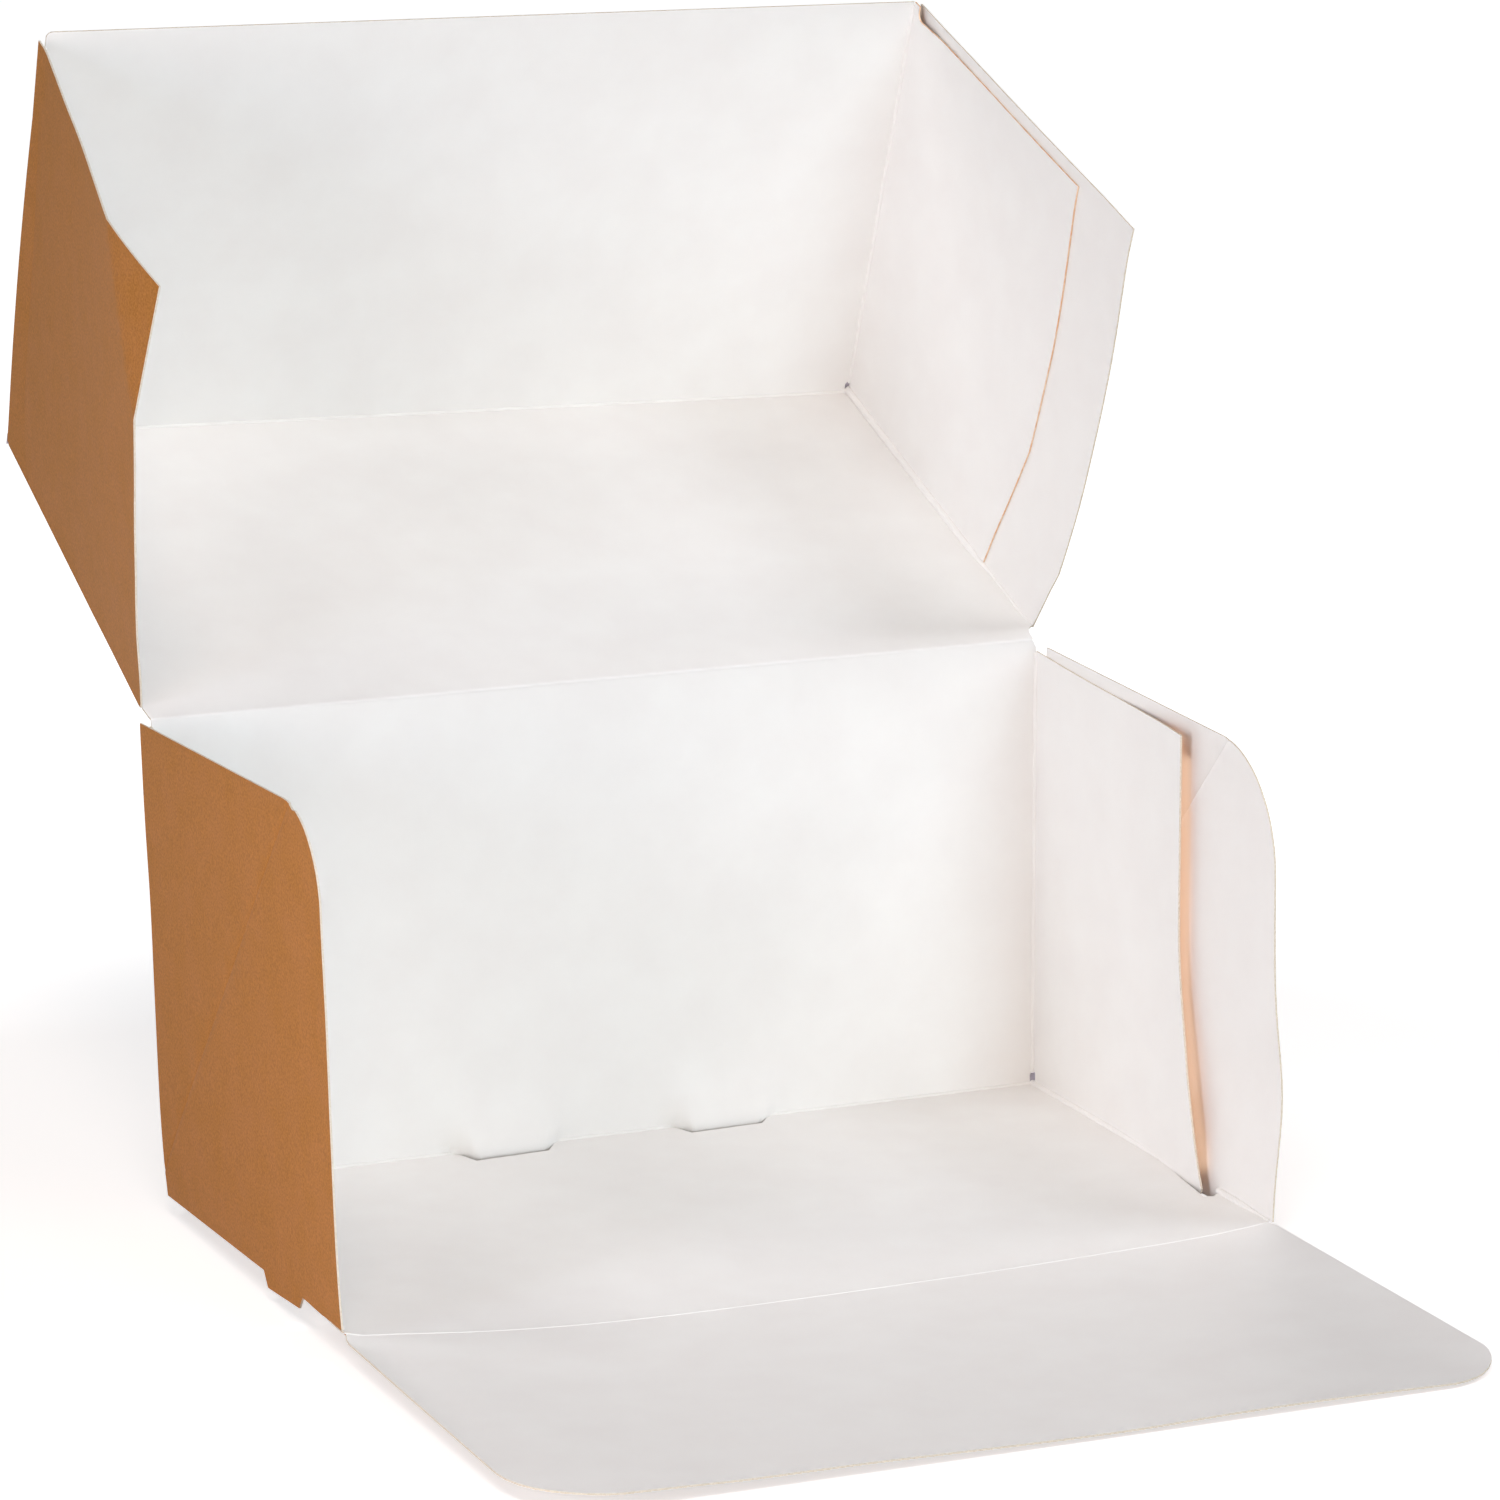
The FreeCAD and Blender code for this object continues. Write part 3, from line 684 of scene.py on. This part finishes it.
def make_tray_creases():
    near, far = REAR_TONGUE

    def share(x):
        return (x + FLAP_FACE) / (2 * FLAP_FACE)

    rear = crease("floor_crease_rear", (-FLAP_FACE, REAR_FACE, FLOOR_FACE),
                  (FLAP_FACE, REAR_FACE, FLOOR_FACE), (0, -1, 1), steps=10,
                  gaps=[(share(-far), share(-near)), (share(near), share(far))])
    shape(rear, lambda x, y, z: (x, y, z - floor_drop(x, REAR_FACE)))
    belongs(rear, "tray")
    flatten_with_flap(rear)
    length = REAR_FACE - FLOOR_FRONT
    gap = tuple((REAR_FACE - edge) / length for edge in SIDE_TONGUE)
    for side, name in SIDES:
        piece = crease(f"floor_crease_{name}", (side * FLAP_FACE, REAR_FACE, FLOOR_FACE),
                       (side * FLAP_FACE, FLOOR_FRONT, FLOOR_FACE), (-side, 0, 1),
                       radius=0.9, steps=30, gaps=[gap])

        def follow(x, y, z):            # it thins out towards the front
            thin = 1 - 0.65 * smooth(-y, 44, 58)
            corner = side * (FLAP_FACE + 0.45 * smooth(-y, 10, 40))
            return (corner + (x - side * FLAP_FACE) * thin, y,
                    FLOOR_FACE + (z - FLOOR_FACE) * thin - floor_drop(side * HALF_WIDTH, y))

        shape(piece, follow)
        belongs(piece, "tray")
        upright = crease(f"rear_crease_{name}", (side * FLAP_FACE, REAR_FACE, RELIEF_TOP),
                         (side * FLAP_FACE, REAR_FACE, 107.6), (-side, -1, 0), radius=0.6, steps=12)
        shape(upright, lambda x, y, z: (x - rear_corner_lean(x, z), y, z))
        belongs(upright, "tray")
    front = crease("floor_crease_front", (-HALF_WIDTH + 0.6, FRONT_CREASE + 0.3, FLOOR_FACE - 0.12),
                   (HALF_WIDTH - 0.6, FRONT_CREASE + 0.3, FLOOR_FACE - 0.12), (0, 0, 1),
                   radius=0.32, steps=54)
    shape(front, lambda x, y, z: (x, y, z - crease_drop(x) - 0.15 * smooth(abs(x), 104, 109)))
    belongs(front, "tray")
    flatten_with_flap(front)


def make_relief_shade(name, corner, wide, high):
    """A thin plate of painted shade in a corner relief, seen through the hole: its grey-violet colour stands
    in for the shadow there.
    """
    x, y, foot = corner
    plate = sheet(name, "front", (x - wide / 2, y, foot), (x + wide / 2, y, foot + high), cell=1.0)
    thicken(plate, thickness=0.05)
    for slot in range(len(plate.data.materials)):
        plate.data.materials[slot] = RELIEF_SHADE
    return plate


def make_tray_reliefs():
    for side, name in SIDES:
        plate = make_relief_shade(f"tray_relief_{name}",
                            (side * 109.05, HALF_DEPTH - 0.06, RELIEF_FOOT - 0.5), 1.8, 3.8)
        belongs(plate, "tray")


# ---- Front flap -----------------------------------------------------------------------------------

# The height of the front flap's free edge, from the left to the right
FLAP_EDGE_LINE = [(-110, -1.4), (-77, -2.35), (-66, -2.75), (-40, -3.0), (-20, -3.45), (0, -3.9),
                  (20, -4.1), (40, -3.7), (60, -3.6), (80, -3.9), (100, -4.1), (110, -3.0)]


def make_front_flap():
    side = HALF_WIDTH - 0.2
    free = FRONT_CREASE - FLAP_REACH
    flap = sheet("front_flap_panel", "up", (-side, free, FLOOR_FACE), (side, FRONT_CREASE, FLOOR_FACE))
    for sign in (-1, 1):
        cut_side(flap, XY, (sign * (side - 0.7), FRONT_CREASE), (sign * side, FRONT_CREASE - 2.5), (0, -100))
    right_radius, left_radius = 18, 21
    round_corner(flap, XY, (side - right_radius, free + right_radius), right_radius, 0, -90)
    round_corner(flap, XY, (left_radius - side, free + left_radius), left_radius, 180, 270)

    def lie(x, y, z):
        forward = (FRONT_CREASE - y) / FLAP_REACH
        edge = along_curve(FLAP_EDGE_LINE, x) - FLOOR_FACE
        corner = 1.5 * (1 - forward) ** 0.7 * smooth(-x, 98, 110) * smooth(-y, 60, 64)
        return (x, y, z - crease_drop(x) * (1 - forward) + edge * forward - corner)

    shape(flap, lie)
    thicken(flap)
    belongs(flap, "front_flap", "front_flap")
    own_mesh(flap)


# ---- Lid ------------------------------------------------------------------------------------------
# The lid is made with its hinge line on the X axis, its panel along +Y and its walls up +Z, and
# then swung back to where it stands open.

def swing(piece):
    """Turn a piece of the lid back about the hinge line, to where it stands open."""
    piece.matrix_world = (
        Matrix.Translation(metres(0, HALF_DEPTH, HEIGHT)) @ Matrix.Rotation(LID_ANGLE, 4, "X")
        @ Matrix.Translation(metres(0, 0, -LID_SAG)))
    take(piece)
    bpy.ops.object.transform_apply(location=True, rotation=True, scale=True)


# How far a lid side wall flares at a height, and the share of that at a place along its crease
RIGHT_FLARE_UP = [(0, 0), (10, 0.8), (20, 2.0), (31, 3.0), (39, 3.5), (52, 3.8), (66, 3.9), (79, 3.6),
                  (93, 2.8), (103, 2.2), (111, 2.2)]
RIGHT_FLARE_ALONG = [(0, 1.0), (17, 0.98), (27, 0.86), (42, 0.66), (58, 0.49), (74, 0.36), (90, 0.25),
                     (106, 0.1), (121, 0.04)]
LEFT_FLARE_UP = [(0, 0), (8, 1.2), (20, 3.2), (31, 4.6), (41, 5.75), (51, 6.85), (62, 7.9), (72, 8.95),
                 (77, 9.45), (111, 12.5)]
LEFT_FLARE_ALONG = [(0, 1.03), (3, 1.0), (33, 0.81), (51, 0.65), (70, 0.48), (89, 0.345), (108, 0.195),
                    (116, 0.14), (121, 0.15)]
CORNER_FOLD = ((2.6, 77.0), (34.0, 109.5))      # along and up a wall: the left one's free corner is folded in
LEFT_NICKS = [(34.2, 109.2, 0.5), (13.5, 109.5, 0.4)]     # along, up, deep: left by the die's holding points


def lid_flare(side, along, up):
    """How far a lid side wall stands outside its crease."""
    if side > 0:
        return along_curve(RIGHT_FLARE_UP, up) * along_curve(RIGHT_FLARE_ALONG, along)
    flare = along_curve(LEFT_FLARE_UP, up) * along_curve(LEFT_FLARE_ALONG, along)
    start, end = Vector(CORNER_FOLD[0]), Vector(CORNER_FOLD[1])
    run = (end - start).normalized()
    beyond = Vector((along, up)) - start
    past = run.x * beyond.y - run.y * beyond.x
    return flare - max(0.0, past) * (0.245 - 0.002 * along)


def lid_crease_shift(side, along):
    """The lid's walls spread a little towards the hinge, where nothing holds them."""
    return 0.95 - 1.85 * along / LID_FRONT_FACE if side < 0 else 0.3 * (1 - along / LID_FRONT_FACE)


def panel_rise(x, along):
    """The lid's panel has warped: towards its front it rises at the left and sinks at the right."""
    warp = (0.9 - 1.6 * x / HALF_WIDTH) * smooth(x + HALF_WIDTH, 0, 28)
    return warp * max(0.0, along / LID_FRONT_FACE) ** 1.5


def make_lid_panel():
    half = LID_WALL_FACE
    panel = sheet("lid_panel", "up", (-half, PANEL_START, BOARD), (half, LID_FRONT_FACE, BOARD))
    cut_side(panel, XY, (-(half - 0.5), 0), (-half, 4), (0, 60))
    window(panel, XY, hinge_notch(PANEL_START - HINGE_REACH))

    def spread(x, y, z):
        side = -1 if x < 0 else 1
        share = max(0.0, (abs(x) - 90) / (half - 90))
        rise = hinge_rise(x) * (1 - smooth(y, 0, 14))
        return (x + side * lid_crease_shift(side, y) * share, y + rise * math.sin(LID_ANGLE),
                z + panel_rise(x, y) + rise * math.cos(LID_ANGLE))

    shape(panel, spread)
    thicken(panel)
    swing(panel)
    belongs(panel, "lid", "lid")
    straighten_with_lid(panel)


def front_corner_shift(x, up):
    """The right upright crease of the lid's front leans towards its middle; the left one bellies
    out against its wall."""
    lean = 1.4 * up / HEIGHT if x > 0 else -0.2 * up / HEIGHT - 0.9 * math.sin(math.pi * up / HEIGHT)
    return lean * x / LID_FLAP_FACE


def make_lid_front():
    top, radius = 110.0, 1.6
    front = sheet("lid_front", "front",
                  (-LID_FLAP_FACE, LID_FRONT_FACE, BOARD), (LID_FLAP_FACE, LID_FRONT_FACE, top))
    round_corner(front, XZ, (radius - LID_FLAP_FACE, top - radius), radius, 95, 175, steps=4)
    shape(front, lambda x, y, z: (x - front_corner_shift(x, z), y,
                                  z + panel_rise(x, y) * (1 - smooth(z, 0, 90))))
    for side in (-1, 1):
        window(front, XZ, relief_hole((side * 109.2, 1.2), side * 109.6, side * 111, (side * 109.2, 2.2),
                                      BOARD - 0.2, 2.7))
    thicken(front)
    swing(front)
    belongs(front, "lid", "lid")


def make_lid_flap(side, name):
    face = side * LID_FLAP_FACE
    end, foot, top = 28.6, BOARD + 0.8, 110.0
    flap = sheet(f"lid_flap_{name}", INWARD[name], (face, end, foot), (face, LID_FRONT_FACE, top))
    inside = (80, 60)
    cut_side(flap, YZ, (35.3, foot), (29.0, 36), inside)
    cut_side(flap, YZ, (29.0, 36), (end, 66), inside)
    cut_side(flap, YZ, (end, 66), (29.8, 107.4), inside)
    if side > 0:                        # its free edge ends in a small round step at the front
        turns = (0.0, 0.4, 0.8, 1.2, 1.57)
        step = [(115.8 + 2 * math.sin(turn), 108.6 - 2 * math.cos(turn)) for turn in turns]
        window(flap, YZ, [(20, 107.5)] + step + [(117.8, 112), (20, 112)])
    else:
        window(flap, YZ, [(20, 103.5), (113, 102.6), (122, 104.5), (122, 112), (20, 112)])

    def bow(x, y, z):                   # glued to the wall at its end, and held by the lid's front
        room = lid_flare(side, y, z)
        share = 1 - 0.6 * smooth(y, 60, 120)
        share += 0.3 * smooth(y, 60, 80) * (1 - smooth(y, 95, 118)) if side > 0 else 0
        shift = lid_crease_shift(side, y) * smooth(120 - y, 0, 60)
        corner = front_corner_shift(face, z) * smooth(y, 104, LID_FRONT_FACE)
        spring = max(0.0, room * share)
        return (x + side * (shift + spring) - corner, y, z)

    shape(flap, bow)
    # its cut edges take the painted warm bounce light
    flap.data.materials[2] = LAP_EDGE_BOUNCE_LIGHT
    thicken(flap)
    swing(flap)
    belongs(flap, "lid", "lid")
    flatten_with_lid(flap)


def make_lid_wall(side, name):
    face = side * LID_WALL_FACE
    rear = 2.6
    wall = sheet(f"lid_wall_{name}", INWARD[name],
                 (face, rear, BOARD), (face, LID_FRONT_FACE + BOARD, 111.0))
    inside = (60, 60)
    tip = 6.8 if side > 0 else 4.3      # where its foot begins, beyond the hinge line
    cut_side(wall, YZ, (tip, 0), (tip - 0.8, 3.2), inside)
    cut_side(wall, YZ, (tip - 0.8, 3.2), (0.6 * tip + 0.8, 8), inside)
    cut_side(wall, YZ, (0.6 * tip + 0.8, 8), (rear, 18), inside)
    free = ((rear, 110.9), (121, 109.2)) if side > 0 else ((rear, 109.6), (121, 107.8))
    cut_side(wall, YZ, free[0], free[1], inside)
    if side < 0:
        cut_side(wall, YZ, (121.5, 3.4), (119.6, 0), inside)
        cut_side(wall, YZ, CORNER_FOLD[0], CORNER_FOLD[1], inside, remove=False)
        for along, up, deep in LEFT_NICKS:
            window(wall, YZ, [(along - 0.9, 112), (along + 0.9, 112), (along, up - deep)], margin=3)
    else:
        score(wall, YZ, CORNER_FOLD)

    def bow(x, y, z):
        raised = score_rise(CORNER_FOLD, y, z, height=0.06) if side > 0 else 0
        return (x + side * (lid_flare(side, y, z) + lid_crease_shift(side, y) - raised), y, z)

    shape(wall, bow)
    thicken(wall)
    swing(wall)
    belongs(wall, "lid", "lid")


def make_lid_reliefs():
    for side, name in SIDES:
        corner = (side * (LID_FLAP_FACE - 0.4), LID_FRONT_FACE + BOARD - 0.06, BOARD - 0.3)
        plate = make_relief_shade(f"lid_relief_{name}", corner, 1.9, 2.9)
        swing(plate)
        belongs(plate, "lid")


def make_lid_creases():
    front = crease("lid_crease_front", (-LID_FLAP_FACE, LID_FRONT_FACE, BOARD),
                   (LID_FLAP_FACE, LID_FRONT_FACE, BOARD), (0, -1, 1), steps=20)
    shape(front, lambda x, y, z: (x, y, z + panel_rise(x, LID_FRONT_FACE)))
    swing(front)
    belongs(front, "lid")
    for side, name in SIDES:
        line = side * LID_FLAP_FACE
        foot = crease(f"lid_crease_{name}", (line, 5 if side < 0 else 8, BOARD),
                      (line, LID_FRONT_FACE, BOARD), (-side, 0, 1), radius=1.1, steps=20)

        def follow(x, y, z):            # it is thinner where the lid's flap doesn't reach
            full = smooth(y, 30, 45)
            thickness = 0.45 + 0.55 * full
            centre = line + side * 0.6 * (1 - full)
            return (centre + (x - line) * thickness + side * lid_crease_shift(side, y),
                    y, BOARD + (z - BOARD) * thickness)

        shape(foot, follow)
        upright = crease(f"lid_front_crease_{name}", (line, LID_FRONT_FACE, BOARD + 2),
                         (line, LID_FRONT_FACE, 109.0 if side > 0 else 106.0), (-side, -1, 0),
                         radius=0.5, steps=12)
        shape(upright, lambda x, y, z: (x - front_corner_shift(line, z), y, z))
        for piece in (foot, upright):
            swing(piece)
            belongs(piece, "lid")


def make_hinge():
    """The strip of board between the rear wall and the lid's panel, bent round to the open lid."""
    left, right = -111.2, 108.3
    strip = sheet("lid_hinge_fold", "front",
                  (left, REAR_FACE, HINGE_START - 0.05), (right, REAR_FACE, HINGE_START))
    steps = 8
    turn = (math.pi / 2 - LID_ANGLE) / steps
    run = 2 * HINGE_BEND * math.sin(turn / 2)
    pick(strip, lambda place: place.z > HINGE_START - 0.01, "EDGE")
    for step in range(steps):
        heading = turn * (step + 0.5)
        bpy.ops.mesh.extrude_region_move(TRANSFORM_OT_translate={
            "value": metres(0, run * math.sin(heading), run * math.cos(heading)), "orient_type": "GLOBAL"})
    leave()
    shape(strip, lambda x, y, z: (x, y, z + hinge_rise(x)))
    thicken(strip)
    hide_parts("tray", "lid")
    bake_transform(strip)


make_floor()
make_rear_wall()
for side, name in SIDES:
    make_side_wall(side, name)
    make_inner_flap(side, name)
make_tray_creases()
make_tray_reliefs()
make_front_flap()
make_lid_panel()
make_lid_front()
for side, name in SIDES:
    make_lid_flap(side, name)
    make_lid_wall(side, name)
make_lid_reliefs()
make_lid_creases()
make_hinge()


# ---- Table, light and camera ----------------------------------------------------------------------

def make_table():
    """A plain pale table. What looks at it sees it white, with the box's soft shadow kept."""
    bpy.ops.object.select_all(action="DESELECT")
    bpy.ops.mesh.primitive_plane_add(size=16, location=metres(0, 0, -STAND - 0.02))
    table = bpy.context.object
    table.name = table.data.name = "table_top"
    material, tree = new_material("pale_table")
    path = add(tree, "ShaderNodeLightPath")
    seen = add(tree, "ShaderNodeMath", operation="MAXIMUM",
               links=[(0, path, "Is Camera Ray"), (1, path, "Is Glossy Ray")])
    seen = add(tree, "ShaderNodeMath", operation="MAXIMUM",
               links=[(0, seen, 0), (1, path, "Is Transmission Ray")])
    place = add(tree, "ShaderNodeTexCoord")
    away = add(tree, "ShaderNodeVectorMath", operation="LENGTH", links=[(0, place, "Object")])
    bright = add(tree, "ShaderNodeMapRange", links=[("Value", away, "Value")],
                 in_1=0.25, in_2=0.7, in_3=0.62, in_4=1.0)
    lift = add(tree, "ShaderNodeMath", operation="MULTIPLY", links=[(0, seen, 0), (1, bright, 0)])
    glow = add(tree, "ShaderNodeEmission", links=[("Strength", lift, 0)], in_Color=(1, 1, 1, 1))
    matt = add(tree, "ShaderNodeBsdfDiffuse", in_Color=linear("#E6E6E6"))
    both = add(tree, "ShaderNodeAddShader", links=[(0, glow, 0), (1, matt, 0)])
    finish_material(tree, both)
    table.data.materials.append(material)


def area_light(name, shape, wide, tall, watts, colour):
    """A soft flat light that the camera doesn't see."""
    data = bpy.data.lights.new(name, "AREA")
    data.shape = shape
    data.size, data.size_y = wide, tall
    data.energy = watts
    data.color = linear(colour)[:3]
    lamp = bpy.data.objects.new(name, data)
    lamp.visible_camera = False
    bpy.context.collection.objects.link(lamp)
    return lamp


def make_lamp(name, around, up, away, size, watts, colour):
    """A round softbox that looks at the middle of the box."""
    around, up = math.radians(around), math.radians(up)
    direction = Vector((math.sin(around) * math.cos(up), -math.cos(around) * math.cos(up), math.sin(up)))
    lamp = area_light(name, "DISK", size, size, watts, colour)
    lamp.location = Vector(metres(0, 0, HEIGHT * 0.8)) + direction * away
    lamp.rotation_euler = (-direction).to_track_quat("-Z", "Y").to_euler()


def make_gap_light(name, low, high, wide, glow, colour):
    """The warm light that the kraft back of the right inner flap throws on the wall behind it.
    It fills the gap between two heights, each given with how far back its middle lies."""
    tall = math.hypot(high[0] - low[0], high[1] - low[1])
    lamp = area_light(name, "RECTANGLE", *metres(wide, tall), glow * 1e-6 * wide * tall, colour)
    lean = math.atan2(high[0] - low[0], high[1] - low[1])
    lamp.matrix_world = (
        Matrix.Translation(metres(FLAP_FACE - 0.75, (low[0] + high[0]) / 2, (low[1] + high[1]) / 2))
        @ Matrix.Rotation(-lean, 4, "X") @ Matrix.Rotation(-math.pi / 2, 4, "Y")
        @ Matrix.Rotation(math.pi / 2, 4, "Z"))


def make_world():
    """A dim room for the box, and plain white for what looks past it."""
    world = bpy.data.worlds.new("studio")
    bpy.context.scene.world = world
    world.use_nodes = True
    tree = world.node_tree
    tree.nodes.clear()
    path = add(tree, "ShaderNodeLightPath")
    seen = add(tree, "ShaderNodeMath", operation="MAXIMUM",
               links=[(0, path, "Is Camera Ray"), (1, path, "Is Transmission Ray")])
    room = add(tree, "ShaderNodeBackground", in_Color=linear("#FFFFFF"), in_Strength=0.017)
    white = add(tree, "ShaderNodeBackground", in_Color=(1, 1, 1, 1), in_Strength=1.0)
    mix = add(tree, "ShaderNodeMixShader", links=[(0, seen, 0), (1, room, 0), (2, white, 0)])
    add(tree, "ShaderNodeOutputWorld", links=[("Surface", mix, 0)])


def make_camera():
    """A long lens, left of the box's front and a little above it."""
    data = bpy.data.cameras.new("camera")
    data.lens = 136.25
    data.sensor_width = 36
    data.clip_end = 50
    camera = bpy.data.objects.new("camera", data)
    bpy.context.collection.objects.link(camera)
    yaw, pitch, roll = math.radians(23.33), math.radians(11.77), math.radians(-0.14)
    turn = (Matrix.Rotation(-yaw, 4, "Z") @ Matrix.Rotation(math.pi / 2 - pitch, 4, "X")
            @ Matrix.Rotation(roll, 4, "Z"))
    camera.matrix_world = Matrix.Translation((-0.4811, -1.1363, 0.3615)) @ turn
    bpy.context.scene.camera = camera


make_table()
make_world()
# name, degrees to the right of the box's front, degrees up, metres away, size, watts, colour
LAMPS = [
    ("front_softbox", 10, 5, 1.7, 0.5, 8.4, "#E3F6FF"),
    ("front_left_softbox", -20, 5, 1.7, 0.5, 4, "#FFF1E4"),
    ("left_softbox", -65, 15, 1.7, 0.5, 5.4, "#E3ECFF"),
    ("left_low_softbox", -59, -2, 0.58, 0.25, 0.98, "#FFF1ED"),
    ("right_softbox", 75, 30, 1.7, 0.5, 5.0, "#FFF7F8"),
    ("right_high_softbox", 58, 58, 1.7, 0.5, 5.9, "#F1F7FF"),
    ("left_high_softbox", -27, 58, 1.7, 0.5, 7.1, "#FFF0E7"),
    ("rear_left_softbox", -100, 58, 1.7, 0.5, 4.1, "#FEFFFE"),
]
# name, foot and top as (back, up), width, glow, colour
GAP_LIGHTS = [
    ("gap_light_foot", (-26.8, 1.6), (-20.0, 18), 9.4, 1.5, "#FFDEBE"),
    ("gap_light_low", (-20.0, 18), (-15.2, 40), 9.8, 1.8, "#FFE2C6"),
    ("gap_light_high", (-15.2, 40), (-14.2, 97), 10.0, 1.8, "#FFE2C6"),
    ("gap_light_top", (-8.5, 97.4), (-8.5, 101.8), 14.0, 1.3, "#FFC49A"),
]
for lamp in LAMPS:
    make_lamp(*lamp)
for lamp in GAP_LIGHTS:
    make_gap_light(*lamp)
make_camera()
bpy.context.scene.view_settings.view_transform = "Standard"
